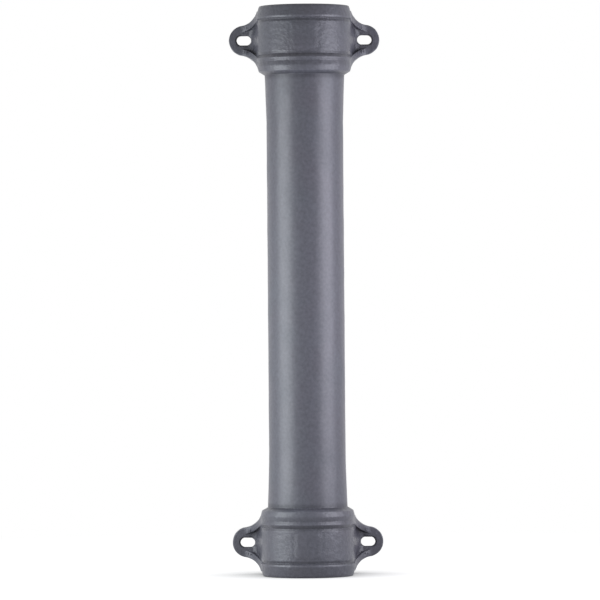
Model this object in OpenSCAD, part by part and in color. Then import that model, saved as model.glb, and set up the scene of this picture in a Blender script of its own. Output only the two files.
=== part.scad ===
// Cast iron rainwater downpipe: a plain round barrel with an eared socket at each end,
// cast in one piece. Dimensions are in millimetres.
// Frame: +Z runs up the pipe and the origin is the centre of the lower mouth. The ears
// stand out along X, the wall is on the +Y side and the front faces -Y.

/* [Pipe] */
// Overall length from mouth to mouth, in the lengths that are stocked
pipe_length = 610; // [610, 914, 1219, 1829]
// Bore of the waterway
bore_d = 75; // [65:0.5:80]
// Wall of the barrel
barrel_wall = 3.5; // [3:0.1:5]
// Extra radius of the barrel where it leaves a socket
barrel_swell = 1.6; // [0.5:0.1:3]
// Length over which that swell tapers away
swell_length = 50; // [20:1:90]

/* [Sockets] */
// Gap all round between a spigot and the socket that takes it
spigot_gap = 4; // [2:0.5:6]
// Wall of a socket, on its plain band
socket_wall = 4.6; // [4:0.1:8]
// Depth of a socket, from its mouth to its floor
socket_depth = 65; // [60:1:80]
// Metal between a socket's floor and the foot of its shoulder
floor_metal = 8.8; // [6:0.2:12]
// Bevel that leads a spigot into a mouth
lead_in = 1; // [0.5:0.1:2]

/* [Mouldings] */
// Height of the tapered bead round a mouth
rim_bead_h = 11.5; // [9:0.5:13]
// How far the rim bead and the lower ring stand out from the band
bead_relief = 1.4; // [0.6:0.1:2.5]
// How far the outside draws in from the band at the mouth
mouth_draft = 1; // [0.5:0.1:2]
// Depth of the groove between the rim bead and the band
groove_relief = 0.6; // [0.3:0.1:1.2]
// Height of the groove under the rim bead
groove_h = 6.5; // [5:0.5:9]
// Depth of the hollow between the band and the lower ring
hollow_relief = 0.8; // [0.4:0.1:1.2]
// Height of the lower ring's rising side
ring_rise_h = 4.1; // [3.5:0.1:6]
// Height of the ring's underside
ring_fall_h = 3.5; // [2.5:0.1:4]
// Height of the strip under the ring, which flares from the band's radius to its foot
strip_h = 4.5; // [3.5:0.1:5]
// How far that foot stands out from the band
strip_relief = 0.7; // [0.3:0.1:1]
// Height of the curve that draws the foot in
foot_curve_h = 6.4; // [5:0.1:8]
// How far inside the band the foot ends
foot_draw = 0.7; // [0.4:0.1:1.5]
// Height of the shoulder between the foot and the barrel
shoulder_h = 3.6; // [3:0.1:6]

/* [Ears] */
// Distance between the centres of the two slots of a pair
fixing_centres = 130; // [122:1:150]
// Distance from a mouth to the centre of its ears
ear_drop = 34; // [32:0.5:42]
// Radius of the round lug at the end of an ear
lug_r = 16.3; // [14:0.1:20]
// Thickness of a lug
lug_thickness = 10; // [8:0.5:14]
// Distance from the pipe's axis to the wall
wall_distance = 52; // [51.5:0.5:60]
// Half height of an ear's root where it meets the socket's side
root_half_h = 30; // [26:0.5:32]
// Half height of that root at the wall, which it narrows to
back_half_h = 21; // [18:0.5:26]
// Radius of the hollow curves that sweep from a socket out to a lug
flare_r = 20.5; // [18:0.5:26]
// Reach across the pipe of the long hollow curve that brings the gussets forward on to
// a socket's side
sweep_w = 21; // [17:0.5:24]
// Distance in front of the lugs' faces at which the roots start to narrow
narrowing_start = 12; // [6:1:16]
// Width of a gusset, measured across the ear's edge
gusset_w = 6; // [4:0.5:8]
// Reach across the pipe of the hollow curve between a socket's side and a lug's face
cove_w = 10; // [6:0.5:12]
// Distance from the pipe's axis towards the wall at which that curve starts
cove_start = 16; // [13:1:22]
// Depth of the pockets cored between the gussets and the boss
pocket_depth = 1; // [0.5:0.5:4]
// Half height of the boss that carries the slot
boss_half_h = 9.5; // [8.5:0.5:12]

/* [Fixing slots] */
// Width of a slot
slot_w = 10.5; // [8:0.5:12]
// Length of a slot, end to end
slot_length = 16; // [12:0.5:18]
// Width of the bevel round a slot's front edge
slot_bevel = 0.9; // [0.4:0.1:1.5]
// Depth of that bevel
slot_bevel_depth = 2; // [1:0.5:3]

/* [Name pad] */
// Width of the bare raised pad on the front of a socket
pad_w = 26; // [16:1:34]
// Height of the pad
pad_h = 26; // [16:1:29]
// How far the pad stands out
pad_relief = 0.6; // [0.3:0.1:1]
// Radius of the pad's corners
pad_corner_r = 3; // [1:0.5:6]

/* [Hidden] */
$fn = 96;

bore_r = bore_d / 2;
barrel_r = bore_r + barrel_wall;
socket_bore_r = barrel_r + spigot_gap;
socket_r = socket_bore_r + socket_wall;
// Depths below the mouth at which the mouldings begin and end
band_top = rim_bead_h + groove_h;
shoulder_foot = socket_depth + floor_metal;
shoulder_top = shoulder_foot - shoulder_h;
strip_foot = shoulder_top - foot_curve_h;
strip_top = strip_foot - strip_h;
ring_crest = strip_top - ring_fall_h;
ring_foot = ring_crest - ring_rise_h;
band_foot = ring_foot - 3 * hollow_relief;

// Radii of the mouldings' rounded corners
lip_r = 1.4;
crest_r = 1.2;
groove_r = 0.8;
hollow_r = 1.5;
foot_r = 8;
shoulder_r = 1;
swell_r = 60;

slot_x = fixing_centres / 2;
slot_r = slot_w / 2;
ear_back = wall_distance;
ear_front = ear_back - lug_thickness;
past = 1; // how far a cutter runs past what it cuts

// Unit vector along v
function unit(v) = v / norm(v);

// The arc that rounds the corner b between a and c; b is [x, y, radius]
function corner_arc(a, b, c, steps = 4) =
    let (
        at = [b[0], b[1]],
        to_a = unit([a[0], a[1]] - at),
        to_c = unit([c[0], c[1]] - at),
        half_angle = acos(to_a * to_c) / 2,
        centre = at + unit(to_a + to_c) * b[2] / sin(half_angle),
        from = at + to_a * b[2] / tan(half_angle) - centre,
        till = at + to_c * b[2] / tan(half_angle) - centre,
        start = atan2(from[1], from[0]),
        turn = atan2(from[0] * till[1] - from[1] * till[0], from * till)
    )
    [for (i = [0:steps]) let (angle = start + turn * i / steps)
        centre + b[2] * [cos(angle), sin(angle)]];

// An open path with its inner corners rounded; each point is [x, y, corner radius]
function rounded(path) = [
    for (i = [0:len(path) - 1])
        each (i == 0 || i == len(path) - 1)
            ? [[path[i][0], path[i][1]]]
            : corner_arc(path[i - 1], path[i], path[i + 1])
];

// A closed loop of such points with every corner rounded
function rounded_loop(loop) = [
    for (i = [0:len(loop) - 1])
        each corner_arc(loop[(i + len(loop) - 1) % len(loop)], loop[i], loop[(i + 1) % len(loop)])
];

// Outside of one end, from its mouth to the plain barrel, as [radius, depth] points
function end_outline() = rounded([
    [0, 0, 0],
    [socket_r - mouth_draft, 0, lip_r],
    [socket_r + bead_relief, rim_bead_h, groove_r],
    [socket_r - groove_relief, rim_bead_h + 0.45 * groove_h, groove_r],
    [socket_r - groove_relief, rim_bead_h + 0.65 * groove_h, groove_r],
    [socket_r, band_top, groove_r],
    [socket_r, band_foot, hollow_r],
    [socket_r - hollow_relief, ring_foot, hollow_r],
    [socket_r + bead_relief, ring_crest, crest_r],
    [socket_r, strip_top, crest_r],
    [socket_r + strip_relief, strip_foot, foot_r],
    [socket_r - foot_draw, shoulder_top, crest_r],
    [barrel_r + barrel_swell, shoulder_foot, shoulder_r],
    [barrel_r, shoulder_foot + swell_length, swell_r],
    [barrel_r, pipe_length / 2, 0]
]);

// The whole outside, turned about the pipe's axis
module turned_outside() {
    lower = end_outline();
    upper = [for (i = [len(lower) - 2:-1:0]) [lower[i][0], pipe_length - lower[i][1]]];
    rotate_extrude() polygon(concat(lower, upper));
}

// Centre of the hollow curve above an ear; it bites a little into the lug's circle
flare_bite = 0.1;
flare_x = socket_r + flare_r;
flare_z = sqrt(pow(lug_r + flare_r - flare_bite, 2) - pow(flare_x - slot_x, 2));

// The two hollow curves' circles, with a radius of their own
module flare_circles(r) {
    for (side = [-1, 1]) translate([flare_x, side * flare_z]) circle(r);
}

// Outline of an ear as it is seen from the front, x to the side and y up
module ear_face() {
    lug_side = unit([flare_x - slot_x, flare_z]) * lug_r;
    root_ledge = 1.5;
    difference() {
        union() {
            translate([slot_x, 0]) circle(lug_r);
            polygon([
                [0, -lug_r],
                [socket_r * 0.6, -root_half_h],
                [socket_r + root_ledge, -root_half_h],
                [slot_x + lug_side[0], -lug_side[1]],
                [slot_x + lug_side[0], lug_side[1]],
                [socket_r + root_ledge, root_half_h],
                [socket_r * 0.6, root_half_h],
                [0, lug_r]
            ]);
        }
        flare_circles(flare_r);
    }
}

// Section of an ear as it is seen from above: a quarter of an ellipse brings it forward
// on to the socket's side, and it leans back on to the socket behind
module ear_plan() {
    sweep_x = socket_r - groove_relief + sweep_w;
    sweep_step = 5;
    tip_x = slot_x + lug_r + past;
    polygon([
        [socket_r * 0.5, 0],
        for (turn = [0:sweep_step:90])
            [sweep_x - sweep_w * cos(turn), ear_front * sin(turn)],
        [tip_x, ear_front],
        [tip_x, ear_back],
        [socket_r * 0.68, ear_back],
        [socket_r * 0.2, socket_r * 0.95]
    ]);
}

// Outline of an ear as it is seen from the side, y to the side and z up: its root
// narrows towards the wall, above and below
module ear_side() {
    taper_y = ear_front - narrowing_start;
    narrowing = (root_half_h - back_half_h) / (ear_back - taper_y);
    past_half_h = back_half_h - narrowing * past;
    polygon([
        [0, -root_half_h],
        [taper_y, -root_half_h],
        [ear_back + past, -past_half_h],
        [ear_back + past, past_half_h],
        [taper_y, root_half_h],
        [0, root_half_h]
    ]);
}

// A flat shape drawn in x and z, made solid between two distances from the axis
module upright(y_front, y_back) {
    translate([0, y_back, 0]) rotate([90, 0, 0]) linear_extrude(y_back - y_front) children();
}

// Round-ended slot along x, grown by some margin
module slot_shape(margin = 0) {
    reach = slot_length / 2 - slot_r;
    for (end = [-1, 1]) translate([end * reach, 0]) circle(slot_r + margin);
    square([2 * reach, 2 * (slot_r + margin)], center = true);
}

// Bevel round the front edge of a slot
module slot_bevel_cut() {
    reach = slot_length / 2 - slot_r;
    for (end = [-1, 1])
        translate([slot_x + end * reach, ear_front, 0])
            rotate([-90, 0, 0]) cylinder(h = slot_bevel_depth, r1 = slot_r + slot_bevel, r2 = slot_r);
    translate([slot_x - reach, 0, 0]) rotate([90, 0, 90]) linear_extrude(2 * reach)
        polygon([
            [ear_front, -slot_r - slot_bevel],
            [ear_front, slot_r + slot_bevel],
            [ear_front + slot_bevel_depth, slot_r],
            [ear_front + slot_bevel_depth, -slot_r]
        ]);
}

// Section of the metal left between a socket's side and a lug's face, seen from above.
// Its side stands just outside the socket and runs straight back to the curve.
module cove_plan() {
    side_x = socket_r + 0.4;
    cove_step = 5;
    polygon([
        [0, 0],
        [side_x, 0],
        for (turn = [0:cove_step:90])
            [side_x + cove_w * (1 - cos(turn)), cove_start + (ear_front - cove_start) * sin(turn)],
        [side_x + cove_w, ear_front + past],
        [0, ear_front + past]
    ]);
}

// One ear, on the +X side, with its centre at height 0
module ear() {
    between = flare_r + gusset_w;
    inner_half_h = flare_z - sqrt(pow(between, 2) - pow(flare_x - socket_r, 2));
    pocket_start = socket_r + cove_w / 2;
    pocket_end = slot_x - slot_length / 2 + slot_r;
    difference() {
        intersection() {
            upright(0, ear_back + past) ear_face();
            linear_extrude(2 * root_half_h + 2 * past, center = true) ear_plan();
            rotate([90, 0, 90]) linear_extrude(slot_x + lug_r + past) ear_side();
        }
        // lug face, between the gussets
        difference() {
            upright(0, ear_front) difference() {
                translate([0, -inner_half_h]) square([slot_x + lug_r, 2 * inner_half_h]);
                flare_circles(between);
            }
            linear_extrude(2 * root_half_h, center = true) cove_plan();
        }
        // pockets beside the boss
        upright(0, ear_front + pocket_depth) difference() {
            for (side = [0, 1])
                mirror([0, side]) translate([pocket_start, boss_half_h])
                    square([pocket_end - pocket_start, root_half_h - boss_half_h]);
            flare_circles(between);
        }
    }
}

// Runs its children at the four ears
module at_ears() {
    for (height = [ear_drop, pipe_length - ear_drop])
        for (side = [0, 1])
            translate([0, 0, height]) mirror([side, 0, 0]) children();
}

// Bare raised pad on the front of each socket
module name_pads() {
    pad_z = (band_top + band_foot) / 2;
    x = pad_w / 2;
    y = pad_h / 2;
    for (height = [pad_z, pipe_length - pad_z])
        translate([0, 0, height]) intersection() {
            cylinder(h = pad_h + 2 * past, r = socket_r + pad_relief, center = true);
            upright(-socket_r - pad_relief - past, -socket_bore_r) polygon(rounded_loop([
                [-x, -y, pad_corner_r], [x, -y, pad_corner_r], [x, y, pad_corner_r], [-x, y, pad_corner_r]
            ]));
        }
}

// Waterway and the two socket bores with their lead-in bevels
module bores() {
    translate([0, 0, -past]) cylinder(h = pipe_length + 2 * past, r = bore_r);
    for (end = [0, 1])
        translate([0, 0, end * pipe_length]) mirror([0, 0, end]) {
            translate([0, 0, -past]) cylinder(h = socket_depth + past, r = socket_bore_r);
            translate([0, 0, -past])
                cylinder(h = lead_in + past, r1 = socket_bore_r + lead_in + past, r2 = socket_bore_r);
        }
}

// The casting
module downpipe() {
    color([0.44, 0.44, 0.48])
        difference() {
            union() {
                turned_outside();
                name_pads();
                at_ears() ear();
            }
            bores();
            at_ears() {
                upright(ear_front - past, ear_back + past) translate([slot_x, 0]) slot_shape();
                slot_bevel_cut();
            }
        }
}

downpipe();
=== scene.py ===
"""Looks of a cast iron rainwater downpipe with an eared socket at each end.

The pipe is one casting, so it is one piece: a turned body, four fixing ears run into
it with soft cast fillets, and the skin that the sand mould leaves, under a grey primer.
Shapes are built in millimetres and brought to metres once they are whole. The frame is
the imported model's: +Z up the pipe, the wall on +Y and the front on -Y.
"""

import logging
import math
from dataclasses import dataclass, field
from enum import Enum
from typing import Any, Optional, Sequence

import bmesh
import bpy
from mathutils import Matrix, Vector, kdtree, noise


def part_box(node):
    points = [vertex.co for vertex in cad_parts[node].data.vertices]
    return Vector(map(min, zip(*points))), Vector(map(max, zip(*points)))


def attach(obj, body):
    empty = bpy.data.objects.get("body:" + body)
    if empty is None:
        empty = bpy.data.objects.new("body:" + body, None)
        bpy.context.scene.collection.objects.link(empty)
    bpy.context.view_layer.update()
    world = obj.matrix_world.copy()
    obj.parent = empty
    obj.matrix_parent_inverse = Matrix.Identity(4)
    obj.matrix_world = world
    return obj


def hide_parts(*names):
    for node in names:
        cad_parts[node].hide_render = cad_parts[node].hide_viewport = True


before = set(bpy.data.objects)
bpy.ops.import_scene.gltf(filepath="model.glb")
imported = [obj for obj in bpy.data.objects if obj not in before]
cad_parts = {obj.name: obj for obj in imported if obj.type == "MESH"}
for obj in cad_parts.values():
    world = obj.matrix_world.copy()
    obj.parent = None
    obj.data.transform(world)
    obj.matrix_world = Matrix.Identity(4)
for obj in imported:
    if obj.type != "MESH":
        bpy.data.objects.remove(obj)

MM = 0.001
LOG = logging.getLogger("downpipe")


# ---------------------------------------------------------------- working solids


class Join(Enum):
    """How one working solid takes another in."""

    ADD = "UNION"
    CUT = "DIFFERENCE"
    COMMON = "INTERSECT"


class Plane(Enum):
    """The plane that an outline is drawn in, and so the way that it is made deep."""

    FRONT = "x and z, deep along y"
    PLAN = "x and y, deep along z"
    SIDE = "y and z, deep along x"


def in_fixed_order(mesh: bpy.types.Mesh) -> bpy.types.Mesh:
    """Sorts a mesh, because the boolean solver gives the same faces in any order.

    Height counts first, which leaves the cleanest seams between ears and sockets.

    Args:
        mesh: the mesh, which is used up.

    Returns:
        The mesh with its vertices and faces in an order that is the same each run.
    """
    spots = [tuple(vert.co) for vert in mesh.vertices]
    order = sorted(range(len(spots)), key=lambda i: spots[i][::-1])
    place = {old: new for new, old in enumerate(order)}
    faces = []
    for face in mesh.polygons:
        ring = [place[i] for i in face.vertices]
        first = ring.index(min(ring))
        faces.append((ring[first:] + ring[:first], face.material_index))
    faces.sort()
    fixed = bpy.data.meshes.new(mesh.name)
    fixed.from_pydata([spots[i] for i in order], [], [ring for ring, _ in faces])
    for material in mesh.materials:
        fixed.materials.append(material)
    fixed.polygons.foreach_set("material_index", [number for _, number in faces])
    bpy.data.meshes.remove(mesh)
    return fixed


class Solid:
    """A closed working solid in millimetres, which others are added to or cut from."""

    def __init__(self, shape: bmesh.types.BMesh) -> None:
        """Takes a bmesh over as a new solid.

        Args:
            shape: the closed mesh, which is freed.
        """
        bmesh.ops.recalc_face_normals(shape, faces=shape.faces)
        mesh = bpy.data.meshes.new("working_solid")
        shape.to_mesh(mesh)
        shape.free()
        self.object = bpy.data.objects.new("working_solid", mesh)
        bpy.context.scene.collection.objects.link(self.object)

    @classmethod
    def prism(
        cls, plane: Plane, outline: Sequence[tuple[float, float]], low: float, high: float
    ) -> "Solid":
        """Makes an outline deep.

        Args:
            plane: the plane that the outline is drawn in.
            outline: its corners, in order.
            low: where the prism starts along the third axis.
            high: where it ends.

        Returns:
            The prism.
        """
        place = {
            Plane.FRONT: lambda a, b, deep: Vector((a, deep, b)),
            Plane.PLAN: lambda a, b, deep: Vector((a, b, deep)),
            Plane.SIDE: lambda a, b, deep: Vector((deep, a, b)),
        }[plane]
        shape = bmesh.new()
        corners = [shape.verts.new(place(a, b, low)) for a, b in outline]
        face = shape.faces.new(corners)
        grown = bmesh.ops.extrude_face_region(shape, geom=[face], use_keep_orig=True)
        moved = [item for item in grown["geom"] if isinstance(item, bmesh.types.BMVert)]
        bmesh.ops.translate(shape, verts=moved, vec=place(0, 0, high) - place(0, 0, low))
        return cls(shape)

    @classmethod
    def rod(
        cls,
        plane: Plane,
        centre: tuple[float, float],
        radius: float,
        low: float,
        high: float,
        slope: float = 0.0,
    ) -> "Solid":
        """Makes a round rod across a plane.

        Args:
            plane: the plane that the rod stands across, FRONT or PLAN.
            centre: the rod's centre in that plane.
            radius: its radius where it starts.
            low: where it starts along the third axis.
            high: where it ends.
            slope: how much its radius grows for each millimetre from there on.

        Returns:
            The rod.
        """
        middle = (low + high) / 2
        if plane is Plane.FRONT:
            matrix = Matrix.Translation((centre[0], middle, centre[1]))
            matrix = matrix @ Matrix.Rotation(-math.pi / 2, 4, "X")
        else:
            matrix = Matrix.Translation((centre[0], centre[1], middle))
        shape = bmesh.new()
        bmesh.ops.create_cone(
            shape,
            cap_ends=True,
            segments=144,
            radius1=radius,
            radius2=radius + slope * (high - low),
            depth=high - low,
            matrix=matrix,
        )
        return cls(shape)

    def take(self, other: "Solid", how: Join) -> "Solid":
        """Adds, cuts or intersects another solid, which is used up.

        Args:
            other: the other solid.
            how: what is done with it.

        Returns:
            This solid.
        """
        modifier = self.object.modifiers.new("take", "BOOLEAN")
        modifier.operation = how.value
        modifier.solver = "EXACT"
        modifier.object = other.object
        self.settle()
        other.discard()
        return self

    def settle(self) -> None:
        """Makes the modifiers' result the solid's own mesh."""
        graph = bpy.context.evaluated_depsgraph_get()
        settled = bpy.data.meshes.new_from_object(self.object.evaluated_get(graph))
        self.object.modifiers.clear()
        self.object.data = in_fixed_order(settled)

    def soften(self, voxel: float, passes: int, keep: float) -> None:
        """Rounds every edge as a sand mould does, and leaves even, small faces.

        Args:
            voxel: size of the even faces, in millimetres.
            passes: how often the surface is smoothed.
            keep: share of the faces that is kept at the end.
        """
        even = self.object.modifiers.new("even", "REMESH")
        even.mode = "VOXEL"
        even.voxel_size = voxel
        smooth = self.object.modifiers.new("smooth", "SMOOTH")
        smooth.factor = 0.5
        smooth.iterations = passes
        thin = self.object.modifiers.new("thin", "DECIMATE")
        thin.ratio = keep
        self.settle()

    def shape(self) -> bmesh.types.BMesh:
        """Returns a bmesh of the solid and uses the solid up."""
        shape = bmesh.new()
        shape.from_mesh(self.object.data)
        self.discard()
        return shape

    def discard(self) -> None:
        """Removes the solid's object."""
        bpy.data.objects.remove(self.object)


# ---------------------------------------------------------------- turned body


@dataclass(frozen=True)
class Corner:
    """A corner of the turned profile.

    Attributes:
        radius: distance from the pipe's axis, in millimetres.
        depth: distance from the mouth.
        rounding: radius of the rounded corner, or 0.
    """

    radius: float
    depth: float
    rounding: float = 0.0


@dataclass
class TurnedBody:
    """The round body: barrel, both sockets and their mouldings, in millimetres."""

    length: float = 610.0
    bore_r: float = 37.5
    barrel_r: float = 41.0
    barrel_swell: float = 1.6
    swell_length: float = 50.0
    socket_bore_r: float = 45.0
    socket_r: float = 49.6
    socket_depth: float = 65.0
    shoulder_foot: float = 73.8
    mouth_draft: float = 1.25
    bead_h: float = 11.5
    bead_relief: float = 1.4
    groove_relief: float = 0.6
    band_top: float = 18.0
    band_foot: float = 49.3
    turn_steps: int = 156
    moulding_row: float = 1.15
    barrel_row: float = 2.6
    inner_row: float = 12.0

    def outside(self) -> list[Corner]:
        """Returns the outer corners of one end, from the mouth to mid-length."""
        return [
            Corner(self.socket_r - self.mouth_draft - 0.3, 0, 1.2),
            Corner(self.socket_r - self.mouth_draft + 0.7, 2.6, 3),
            Corner(self.socket_r + self.bead_relief, self.bead_h + 0.4, 1.5),
            Corner(self.socket_r + self.bead_relief - 0.45, self.bead_h + 2.2, 1.2),
            Corner(self.socket_r - self.groove_relief, self.bead_h + 3.6, 0.7),
            Corner(self.socket_r - self.groove_relief, self.bead_h + 4.2, 0.8),
            Corner(self.socket_r, self.band_top, 0.8),
            Corner(self.socket_r, self.band_foot, 1.5),
            Corner(self.socket_r - self.groove_relief - 0.5, self.band_foot + 2.7, 1.5),
            Corner(self.socket_r + self.bead_relief, self.band_foot + 6.9, 1.3),
            Corner(self.socket_r - 0.1, self.band_foot + 10.3, 1.2),
            Corner(self.socket_r + 0.75, self.band_foot + 15.8, 4.5),
            Corner(self.socket_r - 0.7, self.shoulder_foot - 3.6, 1.4),
            Corner(self.barrel_r + self.barrel_swell, self.shoulder_foot, 0.8),
            Corner(self.barrel_r, self.shoulder_foot + self.swell_length, 60),
            Corner(self.barrel_r, self.length / 2),
        ]

    def inside(self) -> list[Corner]:
        """Returns the inner corners of one end, from mid-length back to the mouth."""
        return [
            Corner(self.bore_r, self.length / 2),
            Corner(self.bore_r, self.socket_depth, 1.2),
            Corner(self.socket_bore_r, self.socket_depth, 1.5),
            Corner(self.socket_bore_r, 1, 0.4),
            Corner(self.socket_bore_r + 1, 0, 0.3),
        ]

    def build(self) -> bmesh.types.BMesh:
        """Spins one half's profile about the axis and mirrors it into the whole body.

        Returns:
            The closed body, standing on its lower mouth.
        """
        shape = bmesh.new()
        corners = self.inside() + self.outside()
        verts = [shape.verts.new((c.radius, 0, c.depth)) for c in corners]
        for first, second in zip(verts, verts[1:]):
            shape.edges.new((first, second))
        self._round_corners(shape, verts, corners)
        self._add_rows(shape)
        bmesh.ops.spin(
            shape,
            geom=shape.verts[:] + shape.edges[:],
            cent=(0, 0, 0),
            axis=(0, 0, 1),
            angle=math.tau,
            steps=self.turn_steps,
            use_merge=True,
        )
        bmesh.ops.translate(shape, verts=shape.verts, vec=(0, 0, -self.length / 2))
        bmesh.ops.mirror(shape, geom=shape.verts[:] + shape.edges[:] + shape.faces[:], axis="Z")
        bmesh.ops.remove_doubles(shape, verts=shape.verts, dist=0.01)
        bmesh.ops.translate(shape, verts=shape.verts, vec=(0, 0, self.length / 2))
        bmesh.ops.recalc_face_normals(shape, faces=shape.faces)
        return shape

    @staticmethod
    def _round_corners(
        shape: bmesh.types.BMesh,
        verts: Sequence[bmesh.types.BMVert],
        corners: Sequence[Corner],
    ) -> None:
        """Rounds each corner of the profile to its own radius.

        Args:
            shape: the profile's mesh.
            verts: its corners' vertices, in order.
            corners: the same corners' sizes.
        """
        for i, corner in enumerate(corners):
            if corner.rounding == 0:
                continue
            at = Vector((corner.radius, corner.depth))
            before = Vector((corners[i - 1].radius, corners[i - 1].depth)) - at
            after = Vector((corners[i + 1].radius, corners[i + 1].depth)) - at
            bmesh.ops.bevel(
                shape,
                geom=[verts[i]],
                offset=corner.rounding / math.tan(before.angle(after) / 2),
                offset_type="OFFSET",
                affect="VERTICES",
                segments=4,
                profile=0.5,
                material=-1,
            )

    def _add_rows(self, shape: bmesh.types.BMesh) -> None:
        """Divides the profile's long edges, so that the cast skin has vertices to move.

        Args:
            shape: the profile's mesh.
        """
        for edge in shape.edges[:]:
            middle = (edge.verts[0].co + edge.verts[1].co) / 2
            if middle.x < self.socket_bore_r + 0.5 and not self._is_barrel(middle):
                row = self.inner_row
            elif middle.z > self.shoulder_foot + 2:
                row = self.barrel_row
            else:
                row = self.moulding_row
            cuts = math.ceil(edge.calc_length() / row) - 1
            if cuts > 0:
                bmesh.ops.subdivide_edges(shape, edges=[edge], cuts=cuts)

    def _is_barrel(self, point: Vector) -> bool:
        """Tells whether a point of the profile is on the barrel's outside."""
        return point.x > self.barrel_r - 0.5 and point.z > self.socket_depth + 2


# ---------------------------------------------------------------- fixing ears


@dataclass
class FixingEar:
    """A slotted ear on the +X side, its centre at height 0, in millimetres.

    Attributes:
        slot_x: distance from the axis to the slot's middle.
        lug_r: radius of the round lug.
        thickness: the lug's thickness.
        wall: distance from the axis to the wall.
        socket_r: outer radius of the socket.
        root_r: radius inside the socket's wall at which the ear's root stops.
        root_half_h: half height of the root on the socket's side.
        back_half_h: half height of the root at the wall.
        flare_r: radius of the hollow curves above and below the ear.
        sweep_w: reach across the pipe of the curve that brings the gussets forward.
        sweep_from: distance from the axis at which that curve starts.
        narrowing_start: distance in front of the lug's face where the root narrows.
        gusset_w: width of a gusset.
        pocket_floor: distance from the axis to the floor of the worn pockets.
        pocket_start: distance from the axis to the pockets' inner ends.
        cove_w: reach across the pipe of the hollow between socket and lug face.
        cove_from: distance from the axis at which that hollow starts.
        draft: slope of the gussets' inner walls, in mm a mm.
        draft_from: distance from the axis at which those walls are at full width.
        worn_passes: how often the pockets' corners are smoothed.
        boss_half_h: half height of the boss round the slot.
        slot_w: the slot's width.
        slot_length: its length, end to end.
        slot_bevel: width of the bevel at its front.
        slot_bevel_depth: depth of that bevel.
        voxel: size of the even faces that the edges are softened on.
        soft_passes: how often they are smoothed.
        kept_faces: share of those faces that is kept.
    """

    slot_x: float = 65.0
    lug_r: float = 16.3
    thickness: float = 10.0
    wall: float = 52.0
    socket_r: float = 49.6
    root_r: float = 47.2
    root_half_h: float = 30.0
    back_half_h: float = 21.0
    flare_r: float = 20.5
    sweep_w: float = 21.0
    sweep_from: float = 49.0
    narrowing_start: float = 12.0
    gusset_w: float = 6.0
    pocket_floor: float = 39.5
    pocket_start: float = 54.6
    cove_w: float = 10.0
    cove_from: float = 16.0
    draft: float = 0.06
    draft_from: float = 25.0
    worn_passes: int = 24
    boss_half_h: float = 9.5
    slot_w: float = 10.5
    slot_length: float = 16.0
    slot_bevel: float = 0.9
    slot_bevel_depth: float = 2.0
    voxel: float = 0.45
    soft_passes: int = 9
    kept_faces: float = 0.07

    @property
    def front(self) -> float:
        """Distance from the axis to the lug's front face."""
        return self.wall - self.thickness

    @property
    def flare_at(self) -> tuple[float, float]:
        """Centre of the hollow curve above the ear, as x and z."""
        x = self.socket_r + self.flare_r
        return x, math.sqrt((self.lug_r + self.flare_r - 0.1) ** 2 - (x - self.slot_x) ** 2)

    def build(self) -> Solid:
        """Builds the ear and softens its edges.

        Returns:
            The ear, whose root stops inside the socket's wall.
        """
        ear = self._face()
        ear.take(self._plan(), Join.COMMON)
        ear.take(self._side(), Join.COMMON)
        ear.take(self._recess(), Join.CUT)
        for side in (-1, 1):
            ear.take(self._pocket(side), Join.CUT)
        ear.take(self._slot(), Join.CUT)
        past = self.root_half_h + 10
        core = Solid.rod(Plane.PLAN, (0, 0), self.root_r, -past, past)
        ear.take(core, Join.CUT)
        ear.soften(self.voxel, self.soft_passes, self.kept_faces)
        return self._worn(ear)

    def _flares(self, solid: Solid, radius: float, draft: float = 0.0) -> Solid:
        """Cuts both hollow curves from a solid.

        Args:
            solid: what they are cut from.
            radius: their radius, at draft_from.
            draft: how much it grows for each millimetre towards the wall.

        Returns:
            The same solid.
        """
        x, z = self.flare_at
        start, end = -5.0, self.wall + 5
        first = radius + draft * (start - self.draft_from)
        for side in (-1, 1):
            rod = Solid.rod(Plane.FRONT, (x, side * z), first, start, end, draft)
            solid.take(rod, Join.CUT)
        return solid

    def _worn(self, ear: Solid) -> Solid:
        """Rounds the deep corners of the pockets further, as the cores' worn edges do.

        Args:
            ear: the softened ear, which is used up.

        Returns:
            The ear with its pockets rounded.
        """
        x, z = self.flare_at
        reach = self.flare_r + self.gusset_w
        shape = ear.shape()
        deep = [
            vert
            for vert in shape.verts
            if vert.co.x < self.slot_x - 1
            and vert.co.y > self.cove_from + 2
            and vert.co.y < self.wall - 3
            and abs(vert.co.z) > self.boss_half_h - 2.5
            and math.hypot(vert.co.x - x, abs(vert.co.z) - z) > reach - 0.3
        ]
        for _ in range(self.worn_passes):
            bmesh.ops.smooth_vert(
                shape, verts=deep, factor=0.5, use_axis_x=True, use_axis_y=True, use_axis_z=True
            )
        return Solid(shape)

    def _face(self) -> Solid:
        """Returns the ear as deep as its outline seen from the front."""
        x, z = self.flare_at
        towards = Vector((x - self.slot_x, z)).normalized() * self.lug_r
        ledge = self.socket_r + 1.5
        lower = [
            (0.0, -self.lug_r),
            (self.socket_r * 0.6, -self.root_half_h),
            (ledge, -self.root_half_h),
            (self.slot_x + towards.x, -towards.y),
        ]
        outline = lower + [(a, -b) for a, b in reversed(lower)]
        face = Solid.prism(Plane.FRONT, outline, 0, self.wall + 1)
        lug = Solid.rod(Plane.FRONT, (self.slot_x, 0), self.lug_r, 0, self.wall + 1)
        return self._flares(face.take(lug, Join.ADD), self.flare_r)

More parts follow.
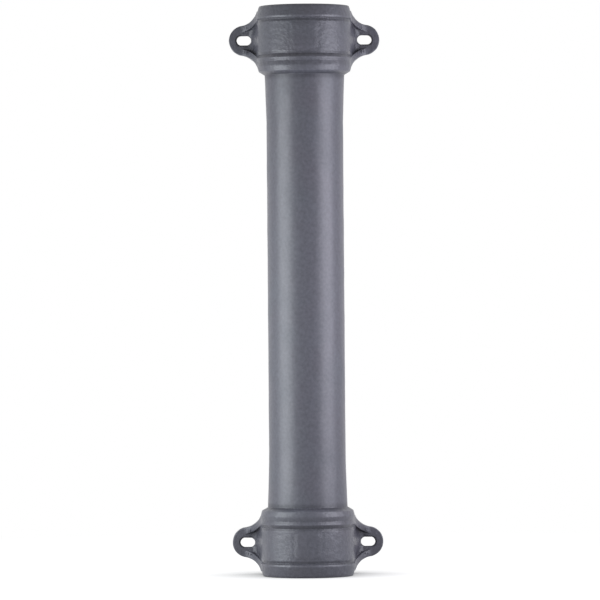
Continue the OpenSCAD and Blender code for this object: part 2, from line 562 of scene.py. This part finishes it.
    def _plan(self) -> Solid:
        """Returns the ear's section seen from above, made deep along the pipe."""
        sweep_x = self.sweep_from + self.sweep_w
        tip = self.slot_x + self.lug_r + 1
        turns = [math.radians(3 * i) for i in range(31)]
        sweep = [
            (sweep_x - self.sweep_w * math.cos(turn), self.front * math.sin(turn))
            for turn in turns
        ]
        outline = [
            (self.socket_r * 0.5, 0.0),
            *sweep,
            (tip, self.front),
            (tip, self.wall),
            (self.socket_r * 0.68, self.wall),
            (self.socket_r * 0.2, self.socket_r * 0.95),
        ]
        return Solid.prism(Plane.PLAN, outline, -self.root_half_h - 1, self.root_half_h + 1)

    def _side(self) -> Solid:
        """Returns the ear's outline seen from the side, which narrows to the wall."""
        taper_y = self.front - self.narrowing_start
        slope = (self.root_half_h - self.back_half_h) / (self.wall - taper_y)
        past = self.back_half_h - slope
        outline = [
            (-1.0, -self.root_half_h),
            (taper_y, -self.root_half_h),
            (self.wall + 1, -past),
            (self.wall + 1, past),
            (taper_y, self.root_half_h),
            (-1.0, self.root_half_h),
        ]
        return Solid.prism(Plane.SIDE, outline, -1, self.slot_x + self.lug_r + 2)

    def _recess(self) -> Solid:
        """Returns the cutter that lays the lug's face back between the gussets."""
        x, z = self.flare_at
        between = self.flare_r + self.gusset_w
        half = z - math.sqrt(between**2 - (x - self.socket_r) ** 2)
        tip = self.slot_x + self.lug_r + 1
        outline = [(-1.0, -half), (tip, -half), (tip, half), (-1.0, half)]
        recess = Solid.prism(Plane.FRONT, outline, -1, self.front)
        recess.take(self._cove(), Join.CUT)
        return self._flares(recess, between, self.draft)

    def _cove(self) -> Solid:
        """Returns the metal left between the socket's side and the lug's face."""
        start, reach = self.socket_r + 0.4, self.front - self.cove_from
        curve = [
            (
                start + self.cove_w * (1 - math.cos(math.radians(6 * i))),
                self.cove_from + reach * math.sin(math.radians(6 * i)),
            )
            for i in range(16)
        ]
        outline = [(-2.0, -2.0), (start, -2.0), *curve, (-2.0, self.front + 1)]
        outline.insert(-1, (curve[-1][0], self.front + 1))
        return Solid.prism(Plane.PLAN, outline, -self.root_half_h - 2, self.root_half_h + 2)

    def _pocket(self, side: int) -> Solid:
        """Returns the cutter of one cored pocket, above (1) or below (-1) the boss."""
        start, end = self.pocket_start, self.slot_x - self.slot_length / 2 + self.slot_w / 2
        rows = (side * self.boss_half_h, side * self.root_half_h)
        outline = [(start, rows[0]), (end, rows[0]), (end, rows[1]), (start, rows[1])]
        pocket = Solid.prism(Plane.FRONT, outline, -1, self.pocket_floor)
        return self._flares(pocket, self.flare_r + self.gusset_w, self.draft)

    def _slot(self) -> Solid:
        """Returns the cutter of the round-ended slot, with the bevel at its front."""
        shape = bmesh.new()
        matrix = Matrix.Translation((0, self.wall + 1, 0)) @ Matrix.Rotation(math.pi / 2, 4, "X")
        radius = self.slot_w / 2
        bmesh.ops.create_circle(shape, cap_ends=True, segments=96, radius=radius, matrix=matrix)
        for depth, grown in (
            (self.front + self.slot_bevel_depth, 0.0),
            (self.front, self.slot_bevel),
            (self.front - 2, self.slot_bevel),
        ):
            face = min(shape.faces, key=lambda f: f.calc_center_median().y)
            side = bmesh.ops.extrude_face_region(shape, geom=[face])
            ring = [item for item in side["geom"] if isinstance(item, bmesh.types.BMVert)]
            for vert in ring:
                spoke = Vector((vert.co.x, 0, vert.co.z)).normalized() * (radius + grown)
                vert.co = (spoke.x, depth, spoke.z)
        reach = self.slot_length / 2 - radius
        for sign in (-1, 1):
            half = [v for v in shape.verts if v.co.x * sign > 1e-4]
            bmesh.ops.translate(shape, verts=half, vec=(sign * reach, 0, 0))
        bmesh.ops.translate(shape, verts=shape.verts, vec=(self.slot_x, 0, 0))
        return Solid(shape)


# ---------------------------------------------------------------- cast skin


class Mark(Enum):
    """What a mark in the cast skin is."""

    DENT = "a shallow round dent"
    CRESCENT = "the lower rim of a blister, a dent shaped like a smile"
    RIPPLE = "a wavy line across, where two tongues of iron met"
    BLISTER = "a faint raised patch"


@dataclass(frozen=True)
class Blemish:
    """One mark in the skin of an end.

    Attributes:
        mark: what it is.
        across: distance to the right of the front's middle, round the surface.
        depth: distance from the mouth.
        width: size across.
        height: size along the pipe.
        relief: how far it stands out, below 0 where it goes in.
    """

    mark: Mark
    across: float
    depth: float
    width: float
    height: float
    relief: float

    def offset(self, across: float, depth: float) -> float:
        """Works out how far the mark moves the surface at a place.

        Args:
            across: the place's distance to the right of the front's middle.
            depth: its distance from the mouth.

        Returns:
            The offset along the normal, in millimetres.
        """
        u = (across - self.across) / (self.width / 2)
        v = (depth - self.depth) / (self.height / 2)
        if abs(u) > 2 or abs(v) > 3:
            return 0.0
        if self.mark is Mark.CRESCENT:
            v = v - 1.0 + u * u * 1.2
            fade = math.exp(-((abs(u) / 1.1) ** 4))
        elif self.mark is Mark.RIPPLE:
            v = v + 0.7 * math.sin(u * 4.1 + self.across)
            fade = math.exp(-((abs(u) / 1.0) ** 4))
        else:
            fade = math.exp(-u * u)
        return self.relief * fade * math.exp(-v * v)


@dataclass
class CastSkin:
    """What the sand mould leaves on the surface, in millimetres."""

    length: float
    socket_length: float = 76.0
    long_wave: float = 0.14
    long_wave_size: float = 30.0
    middle_wave: float = 0.07
    middle_wave_size: float = 12.0
    short_wave: float = 0.07
    short_wave_size: float = 5.5
    socket_roughness: float = 2.2
    pad_width: float = 26.0
    pad_top: float = 20.6
    pad_foot: float = 46.6
    pad_relief: float = 0.42
    pad_edge: float = 2.6
    blemishes: Sequence[Blemish] = (
        Blemish(Mark.CRESCENT, 7.2, 119.0, 8.6, 2.4, -0.30),
        Blemish(Mark.BLISTER, 6.4, 112.5, 11.0, 9.0, 0.12),
        Blemish(Mark.DENT, 24.6, 127.2, 3.6, 1.8, -0.30),
        Blemish(Mark.RIPPLE, 12.6, 82.4, 13.5, 2.2, -0.22),
        Blemish(Mark.RIPPLE, -22.6, 81.4, 6.0, 2.2, -0.18),
        Blemish(Mark.RIPPLE, -6.0, 117.0, 8.0, 1.8, 0.10),
        Blemish(Mark.DENT, -32.0, 113.4, 5.0, 6.0, -0.14),
    )

    def offset(self, point: Vector) -> float:
        """Works out how far the skin stands off the true shape at a point.

        Args:
            point: a point of the outside, in millimetres.

        Returns:
            The offset along the normal.
        """
        upper = point.z > self.length / 2
        depth = self.length - point.z if upper else point.z
        total = noise.noise(point / self.long_wave_size) * self.long_wave
        fine = noise.noise(point / self.middle_wave_size + Vector((5, 3, 1))) * self.middle_wave
        fine += noise.noise(point / self.short_wave_size + Vector((1, 8, 4))) * self.short_wave
        total += fine * (self.socket_roughness if depth < self.socket_length else 1.0)
        if point.y < 0:
            radius = math.hypot(point.x, point.y)
            across = math.asin(max(-1.0, min(1.0, point.x / radius))) * radius
            turned = across if upper else -across
            total += sum(blemish.offset(turned, depth) for blemish in self.blemishes)
            total += self._pad(point, turned, depth)
        return total

    def _pad(self, point: Vector, across: float, depth: float) -> float:
        """Returns the relief of the bare name pad at a place of the socket's front."""
        middle = (self.pad_top + self.pad_foot) / 2
        over_x = abs(across) - self.pad_width / 2
        over_z = abs(depth - middle) - (self.pad_foot - self.pad_top) / 2
        wander = 0.7 * noise.noise(point / 5.0 + Vector((0, 9, 0)))
        if max(over_x, over_z) > self.pad_edge * 2:
            return 0.0
        over = max(over_x, over_z) + wander
        share = min(1.0, max(0.0, 0.5 - over / self.pad_edge))
        lumps = 0.5 + 0.5 * noise.noise(point / 3.6)
        return self.pad_relief * share * share * (3 - 2 * share) * (0.75 + 0.5 * lumps)


# ---------------------------------------------------------------- finishes


def linear(code: str) -> tuple[float, float, float, float]:
    """Turns an sRGB hex colour into linear light.

    Args:
        code: the colour, such as "#808080".

    Returns:
        Linear red, green, blue and an alpha of 1.
    """
    parts = [int(code[i : i + 2], 16) / 255 for i in (1, 3, 5)]
    channels = [p / 12.92 if p <= 0.04045 else ((p + 0.055) / 1.055) ** 2.4 for p in parts]
    return channels[0], channels[1], channels[2], 1.0


def add_node(
    tree: bpy.types.NodeTree,
    kind: str,
    settings: Optional[dict[str, Any]] = None,
    inputs: Optional[dict[Any, Any]] = None,
) -> bpy.types.Node:
    """Adds a node with its settings, values and links.

    Args:
        tree: the node tree.
        kind: the node's type name.
        settings: properties of the node itself.
        inputs: by input name or number, a value or an output socket to link from.

    Returns:
        The node.
    """
    node = tree.nodes.new(kind)
    for name, value in (settings or {}).items():
        setattr(node, name, value)
    for name, value in (inputs or {}).items():
        if isinstance(value, bpy.types.NodeSocket):
            tree.links.new(value, node.inputs[name])
        else:
            node.inputs[name].default_value = value
    return node


@dataclass(frozen=True)
class TransitPrimer:
    """Satin grey transit primer, sprayed over sand-cast iron.

    To the eye: a dull grey with a slight violet cast, cooler in broad patches where the
    coat is thinner, a soft sheen that follows the waves of the casting, and a fine
    grain where the sand shows through. Hollows and corners carry painted shade: a
    darker colour and a lower gloss, worked out from ambient occlusion.
    """

    name: str = "satin_transit_primer_on_cast_iron"
    grey: str = "#57545D"
    cool_grey: str = "#53565D"
    patch_mm: float = 38.0
    speck_mm: float = 3.2
    speck_depth: float = 0.16
    roughness: float = 0.40
    roughness_spread: float = 0.10
    specular: float = 0.5
    # painted shade: ambient occlusion darkens the colour and lowers the gloss in hollows closer
    # than this
    painted_shade_mm: float = 8.0
    painted_shade_power: float = 3.4
    painted_shade_floor: float = 0.64
    # real sand grain is near 0.3 mm and would not show, so it is drawn at 1.7 mm
    grain_mm: float = 1.7
    grain_relief_mm: float = 0.035
    # the sockets' cored moulds leave a rougher skin than the barrel's
    peel_mm: float = 3.3
    peel_relief_mm: float = 0.42
    pipe_length_mm: float = 610.0
    socket_length_mm: float = 74.0

    def material(self) -> bpy.types.Material:
        """Returns the finish as a node material."""
        made = bpy.data.materials.new(self.name)
        made.use_nodes = True
        tree = made.node_tree
        tree.nodes.clear()
        place = add_node(tree, "ShaderNodeTexCoord").outputs["Object"]
        patches = self._noise(tree, place, self.patch_mm, 3.0)
        specks = self._noise(tree, place, self.speck_mm, 4.0)
        grain = self._noise(tree, place, self.grain_mm, 3.0)
        tint = add_node(
            tree,
            "ShaderNodeMix",
            {"data_type": "RGBA"},
            {"Factor": patches, "A": linear(self.grey), "B": linear(self.cool_grey)},
        )
        tint_out = next(s for s in tint.outputs if s.type == "RGBA")
        shade = add_node(
            tree,
            "ShaderNodeMapRange",
            None,
            {
                "Value": specks,
                "From Min": 0.3,
                "From Max": 0.7,
                "To Min": 1 - self.speck_depth,
                "To Max": 1 + self.speck_depth,
            },
        ).outputs[0]
        # painted shade: ambient occlusion gives hollows and corners a darker colour and a lower
        # gloss
        open_air = add_node(
            tree,
            "ShaderNodeAmbientOcclusion",
            {"samples": 8, "only_local": True},
            {"Distance": self.painted_shade_mm * MM},
        ).outputs["AO"]
        painted_shade_curve = add_node(
            tree, "ShaderNodeMath", {"operation": "POWER"}, {0: open_air, 1: self.painted_shade_power}
        ).outputs[0]
        painted_shade_factor = add_node(
            tree, "ShaderNodeMath", {"operation": "MAXIMUM"}, {0: painted_shade_curve, 1: self.painted_shade_floor}
        ).outputs[0]
        gloss = add_node(
            tree, "ShaderNodeMath", {"operation": "MULTIPLY"}, {0: painted_shade_factor, 1: self.specular}
        ).outputs[0]
        # the speck tone times the painted shade of the hollows
        both = add_node(
            tree, "ShaderNodeMath", {"operation": "MULTIPLY"}, {0: shade, 1: painted_shade_factor}
        ).outputs[0]
        colour = add_node(
            tree, "ShaderNodeVectorMath", {"operation": "SCALE"}, {0: tint_out, "Scale": both}
        ).outputs[0]
        sheen = add_node(
            tree,
            "ShaderNodeMapRange",
            None,
            {
                "Value": patches,
                "From Min": 0.3,
                "From Max": 0.7,
                "To Min": self.roughness - self.roughness_spread / 2,
                "To Max": self.roughness + self.roughness_spread / 2,
            },
        ).outputs[0]
        bump = add_node(
            tree,
            "ShaderNodeBump",
            None,
            {
                "Strength": 1.0,
                "Distance": self.grain_relief_mm * MM,
                "Height": self._socket_peel(tree, place, grain),
            },
        ).outputs[0]
        shader = add_node(
            tree,
            "ShaderNodeBsdfPrincipled",
            None,
            {
                "Base Color": colour,
                "Roughness": sheen,
                "Specular IOR Level": gloss,
                "Normal": bump,
            },
        ).outputs[0]
        add_node(tree, "ShaderNodeOutputMaterial", None, {"Surface": shader})
        return made

    def _socket_peel(
        self,
        tree: bpy.types.NodeTree,
        place: bpy.types.NodeSocket,
        grain: bpy.types.NodeSocket,
    ) -> bpy.types.NodeSocket:
        """Adds the sockets' rougher skin to the grain.

        Args:
            tree: the finish's node tree.
            place: where the shaded point is.
            grain: the height of the grain, which is 1 for its whole relief.

        Returns:
            The height of both together, on the grain's scale.
        """
        middle = self.pipe_length_mm / 2
        along = add_node(tree, "ShaderNodeSeparateXYZ", None, {0: place}).outputs["Z"]
        past = add_node(
            tree, "ShaderNodeMath", {"operation": "SUBTRACT"}, {0: along, 1: middle * MM}
        ).outputs[0]
        away = add_node(tree, "ShaderNodeMath", {"operation": "ABSOLUTE"}, {0: past}).outputs[0]
        on_socket = add_node(
            tree,
            "ShaderNodeMapRange",
            None,
            {
                "Value": away,
                "From Min": (middle - self.socket_length_mm - 4) * MM,
                "From Max": (middle - self.socket_length_mm + 1) * MM,
            },
        ).outputs[0]
        peel = add_node(
            tree,
            "ShaderNodeMath",
            {"operation": "MULTIPLY"},
            {0: self._noise(tree, place, self.peel_mm, 2.0), 1: on_socket},
        ).outputs[0]
        return add_node(
            tree,
            "ShaderNodeMath",
            {"operation": "MULTIPLY_ADD"},
            {0: peel, 1: self.peel_relief_mm / self.grain_relief_mm, 2: grain},
        ).outputs[0]

    @staticmethod
    def _noise(
        tree: bpy.types.NodeTree, place: bpy.types.NodeSocket, size_mm: float, detail: float
    ) -> bpy.types.NodeSocket:
        """Adds a noise whose blots are about size_mm wide and returns its value."""
        return add_node(
            tree,
            "ShaderNodeTexNoise",
            None,
            {"Vector": place, "Scale": 1 / (size_mm * MM), "Detail": detail},
        ).outputs[0]


# ---------------------------------------------------------------- the casting


@dataclass
class Downpipe:
    """The whole casting, as one piece.

    Attributes:
        node: the solid that it stands for.
        slot: that solid's material slot; not used.
        ear_drop: distance from a mouth to the middle of its ears, in millimetres.
        fillet: reach of the run-in beside the seam between an ear and its socket.
        seam_edge: longest edge that is left there undivided.
        body: the turned body.
        ear: the ear, which is used four times.
        finish: what it is painted with.
    """

    node: str = "downpipe"
    slot: str = "primed_cast_iron"
    ear_drop: float = 34.0
    fillet: float = 3.4
    seam_edge: float = 1.3
    body: TurnedBody = field(default_factory=TurnedBody)
    ear: FixingEar = field(default_factory=FixingEar)
    finish: TransitPrimer = field(default_factory=TransitPrimer)

    def build(self) -> bpy.types.Object:
        """Builds the casting, dresses it and sets it in the frame.

        Returns:
            The finished object.
        """
        whole = Solid(self.body.build())
        mesh = whole.object.data
        for name in ("body", "ear"):
            mesh.materials.append(bpy.data.materials.new("mark_" + name))
        whole.take(self._four_ears(), Join.ADD)
        shape = whole.shape()
        LOG.info("joined: %d faces", len(shape.faces))
        self._run_ears_in(shape)
        self._give_skin(shape)
        bmesh.ops.scale(shape, verts=shape.verts, vec=(MM, MM, MM))
        self._keep_inside(shape)
        return self._finished(shape)

    def _four_ears(self) -> Solid:
        """Returns the four ears as one solid, whose faces carry material number 1."""
        one = self.ear.build().shape()
        pattern = bpy.data.meshes.new("ear")
        one.to_mesh(pattern)
        one.free()
        ears = bmesh.new()
        for height in (self.ear_drop, self.body.length - self.ear_drop):
            for side in (1, -1):
                before = len(ears.verts)
                ears.from_mesh(pattern)
                ears.verts.ensure_lookup_table()
                place = Matrix.Translation((0, 0, height)) @ Matrix.Diagonal((side, 1, 1, 1))
                bmesh.ops.transform(ears, matrix=place, verts=ears.verts[before:])
        for face in ears.faces:
            face.material_index = 1
        solid = Solid(ears)
        for name in ("body", "ear"):
            solid.object.data.materials.append(bpy.data.materials["mark_" + name])
        return solid

    def _run_ears_in(self, shape: bmesh.types.BMesh) -> None:
        """Rounds the corner between each ear and its socket into a cast fillet.

        Args:
            shape: the joined mesh, whose faces still tell ears from body.
        """
        seam = dict.fromkeys(
            vert
            for edge in shape.edges
            if len({face.material_index for face in edge.link_faces}) > 1
            for vert in edge.verts
        )
        tree = kdtree.KDTree(len(seam))
        for i, vert in enumerate(seam):
            tree.insert(vert.co, i)
        tree.balance()

        def near(reach: float) -> list[bmesh.types.BMVert]:
            """Returns the vertices within a distance of the seam."""
            return [v for v in shape.verts if tree.find(v.co)[2] < reach]

        touched = dict.fromkeys(
            face for vert in near(self.fillet + 1) for face in vert.link_faces
        )
        bmesh.ops.triangulate(shape, faces=list(touched))
        bmesh.ops.remove_doubles(shape, verts=near(self.fillet), dist=0.2)
        self._drop_fins(shape)
        long_edges = dict.fromkeys(
            edge
            for vert in near(self.fillet)
            for edge in vert.link_edges
            if edge.calc_length() > self.seam_edge
        )
        bmesh.ops.subdivide_edges(shape, edges=list(long_edges), cuts=1)
        bmesh.ops.triangulate(shape, faces=[f for f in shape.faces if len(f.verts) > 4])
        self._drop_fins(shape)
        self._drop_scraps(shape)
        for reach, passes in ((self.fillet, 6), (self.fillet * 0.6, 8)):
            for _ in range(passes):
                bmesh.ops.smooth_vert(
                    shape,
                    verts=near(reach),
                    factor=0.5,
                    use_axis_x=True,
                    use_axis_y=True,
                    use_axis_z=True,
                )
        for face in shape.faces:
            face.material_index = 0
        LOG.info("ears run in along %d seam vertices", len(seam))

    @staticmethod
    def _drop_fins(shape: bmesh.types.BMesh) -> None:
        """Deletes the faces that hang by one edge where small gaps were closed.

        Args:
            shape: the joined mesh, which is closed again afterwards.
        """
        same_corners: dict[frozenset, list[bmesh.types.BMFace]] = {}
        for face in shape.faces:
            same_corners.setdefault(frozenset(face.verts), []).append(face)
        folded = [face for same in same_corners.values() if len(same) > 1 for face in same]
        bmesh.ops.delete(shape, geom=folded, context="FACES")
        fins = [
            face for face in shape.faces if sum(edge.is_boundary for edge in face.edges) > 1
        ]
        bmesh.ops.delete(shape, geom=fins, context="FACES")
        LOG.info("fins deleted: %d", len(folded) + len(fins))

    @staticmethod
    def _drop_scraps(shape: bmesh.types.BMesh) -> None:
        """Deletes bits that were pinched off at the seams, and hanging faces.

        Args:
            shape: the joined mesh, of which the largest island stays.
        """
        shape.verts.index_update()
        seen: set[int] = set()
        largest: set[int] = set()
        for start in shape.verts:
            if start.index in seen:
                continue
            island, front = {start.index}, [start]
            while front:
                vert = front.pop()
                for edge in vert.link_edges:
                    other = edge.other_vert(vert)
                    if other.index not in island:
                        island.add(other.index)
                        front.append(other)
            seen |= island
            largest = max(largest, island, key=len)
        scraps = [vert for vert in shape.verts if vert.index not in largest]
        bmesh.ops.delete(shape, geom=scraps, context="VERTS")
        while hanging := [
            face
            for face in shape.faces
            if any(edge.is_boundary for edge in face.edges)
            and any(len(edge.link_faces) > 2 for edge in face.edges)
        ]:
            bmesh.ops.delete(shape, geom=hanging, context="FACES")
        open_edges = sum(edge.is_boundary for edge in shape.edges)
        LOG.info("scraps: %d vertices, open edges left: %d", len(scraps), open_edges)

    def _give_skin(self, shape: bmesh.types.BMesh) -> None:
        """Moves the outside's vertices by what the sand mould leaves.

        Args:
            shape: the whole mesh, in millimetres.
        """
        skin = CastSkin(self.body.length)
        shape.normal_update()
        moves = []
        for vert in shape.verts:
            point = vert.co
            from_end = min(point.z, self.body.length - point.z)
            outward = vert.normal.x * point.x + vert.normal.y * point.y
            inner = math.hypot(point.x, point.y) < self.body.socket_bore_r + 0.5
            if from_end < 0.6 or (inner and outward < 0):
                continue
            moves.append((vert, vert.normal * skin.offset(point)))
        for vert, move in moves:
            vert.co += move

    def _keep_inside(self, shape: bmesh.types.BMesh) -> None:
        """Keeps the skin inside the solid's box, so that the sizes stay true.

        Args:
            shape: the whole mesh, in metres.
        """
        low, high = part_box(self.node)
        for vert in shape.verts:
            vert.co = [min(max(vert.co[i], low[i]), high[i]) for i in range(3)]

    def _finished(self, shape: bmesh.types.BMesh) -> bpy.types.Object:
        """Makes the object, gives it its finish and ties it to the frame.

        Args:
            shape: the whole mesh, in metres.

        Returns:
            The object.
        """
        bmesh.ops.recalc_face_normals(shape, faces=shape.faces)
        for face in shape.faces:
            face.smooth = True
        mesh = bpy.data.meshes.new("downpipe_casting")
        shape.to_mesh(mesh)
        shape.free()
        mesh.materials.clear()
        mesh.materials.append(self.finish.material())
        piece = bpy.data.objects.new("downpipe_casting", mesh)
        bpy.context.scene.collection.objects.link(piece)
        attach(piece, "root")
        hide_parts(self.node)
        triangles = sum(len(face.vertices) - 2 for face in mesh.polygons)
        LOG.info("%s: %d triangles", piece.name, triangles)
        return piece


# ---------------------------------------------------------------- studio


@dataclass(frozen=True)
class Softbox:
    """A soft rectangular light beside the pipe.

    Attributes:
        name: its name.
        turn: degrees from the front's middle, to the right above 0.
        distance: metres from the axis.
        height: metres above the floor.
        width: its width in metres.
        tall: its height in metres.
        watts: its power.
        tint: its colour.
    """

    name: str
    turn: float
    distance: float
    height: float
    width: float
    tall: float
    watts: float
    tint: str

    def place(self) -> None:
        """Makes the light and points it at the axis."""
        lamp = bpy.data.lights.new(self.name, "AREA")
        lamp.shape = "RECTANGLE"
        lamp.size, lamp.size_y, lamp.energy = self.width, self.tall, self.watts
        lamp.color = linear(self.tint)[:3]
        light = bpy.data.objects.new(self.name, lamp)
        turn = math.radians(self.turn)
        light.location = (
            math.sin(turn) * self.distance,
            -math.cos(turn) * self.distance,
            self.height,
        )
        light.rotation_euler = (math.pi / 2, 0, turn)
        light.visible_camera = False
        bpy.context.scene.collection.objects.link(light)


@dataclass
class Studio:
    """A white floor and surround, two soft lights, and the camera."""

    camera_height: float = 0.2954
    camera_shift: float = -0.0066
    camera_roll: float = -0.45
    camera_distance: float = 5.0
    frame_height: float = 0.6428
    surround_light: float = 0.045
    floor_r: float = 0.9
    floor_grey: str = "#8C8C8C"
    floor_lift: float = 0.98
    shadow_reach: float = 0.12
    lights: Sequence[Softbox] = (
        Softbox("left_softbox", -64, 0.5, 0.255, 0.38, 0.60, 4.15, "#F4FAFF"),
        Softbox("right_softbox", 64, 0.5, 0.355, 0.38, 0.60, 3.80, "#F2F2FF"),
    )

    def build(self) -> None:
        """Sets the whole studio up."""
        self._world()
        self._floor()
        for light in self.lights:
            light.place()
        self._camera()
        bpy.context.scene.view_settings.view_transform = "Standard"

    def _world(self) -> None:
        """Makes the surround: white where it is seen, a plain level where it lights."""
        world = bpy.data.worlds.new("white_surround")
        world.use_nodes = True
        tree = world.node_tree
        tree.nodes.clear()
        seen = self._seen(tree)
        strength = add_node(
            tree,
            "ShaderNodeMapRange",
            None,
            {"Value": seen, "To Min": self.surround_light, "To Max": 1.0},
        ).outputs[0]
        light = add_node(
            tree, "ShaderNodeBackground", None, {"Color": (1, 1, 1, 1), "Strength": strength}
        ).outputs[0]
        add_node(tree, "ShaderNodeOutputWorld", None, {"Surface": light})
        bpy.context.scene.world = world

    @staticmethod
    def _seen(tree: bpy.types.NodeTree) -> bpy.types.NodeSocket:
        """Returns 1 for a ray that shows a surface: from the camera, a gloss or a glass."""
        path = add_node(tree, "ShaderNodeLightPath")
        total = path.outputs["Is Camera Ray"]
        for name in ("Is Glossy Ray", "Is Transmission Ray"):
            total = add_node(
                tree,
                "ShaderNodeMath",
                {"operation": "MAXIMUM"},
                {0: total, 1: path.outputs[name]},
            ).outputs[0]
        return total

    def _floor(self) -> None:
        """Makes the floor: a white disc that keeps the pipe's shadow."""
        shape = bmesh.new()
        bmesh.ops.create_circle(shape, cap_ends=True, segments=128, radius=self.floor_r)
        mesh = bpy.data.meshes.new("floor")
        shape.to_mesh(mesh)
        shape.free()
        floor = bpy.data.objects.new("floor", mesh)
        bpy.context.scene.collection.objects.link(floor)
        material = bpy.data.materials.new("white_floor")
        material.use_nodes = True
        tree = material.node_tree
        tree.nodes.clear()
        plain = add_node(
            tree, "ShaderNodeBsdfDiffuse", None, {"Color": linear(self.floor_grey)}
        ).outputs[0]
        shadow = add_node(
            tree, "ShaderNodeAmbientOcclusion", {"samples": 16}, {"Distance": self.shadow_reach}
        ).outputs["Color"]
        glow = add_node(
            tree, "ShaderNodeEmission", None, {"Color": shadow, "Strength": self._lift(tree)}
        ).outputs[0]
        both = add_node(tree, "ShaderNodeAddShader", None, {0: plain, 1: glow}).outputs[0]
        add_node(tree, "ShaderNodeOutputMaterial", None, {"Surface": both})
        mesh.materials.append(material)

    def _lift(self, tree: bpy.types.NodeTree) -> bpy.types.NodeSocket:
        """Returns what lifts the floor to white where it is seen, and adds no light."""
        return add_node(
            tree,
            "ShaderNodeMath",
            {"operation": "MULTIPLY"},
            {0: self._seen(tree), 1: self.floor_lift},
        ).outputs[0]

    def _camera(self) -> None:
        """Places the camera level with the pipe's middle, rolled a little, far off."""
        lens = bpy.data.cameras.new("camera")
        lens.sensor_width = 36.0
        lens.lens = lens.sensor_width * self.camera_distance / self.frame_height
        lens.clip_end = 50.0
        camera = bpy.data.objects.new("camera", lens)
        camera.location = (self.camera_shift, -self.camera_distance, self.camera_height)
        level = Matrix.Rotation(math.pi / 2, 4, "X")
        roll = Matrix.Rotation(math.radians(self.camera_roll), 4, "Z")
        camera.rotation_euler = (level @ roll).to_euler()
        bpy.context.scene.collection.objects.link(camera)
        bpy.context.scene.camera = camera


# ---------------------------------------------------------------- main


def corners(bounds: tuple[Vector, Vector]) -> list[list[float]]:
    """Turns a box's two corners into plain lists."""
    return [list(corner) for corner in bounds]


def main() -> None:
    """Builds the pipe and its studio."""
    logging.basicConfig(level=logging.INFO, format="%(name)s: %(message)s", force=True)
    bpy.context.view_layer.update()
    Downpipe().build()
    Studio().build()


if __name__ == "__main__":
    main()
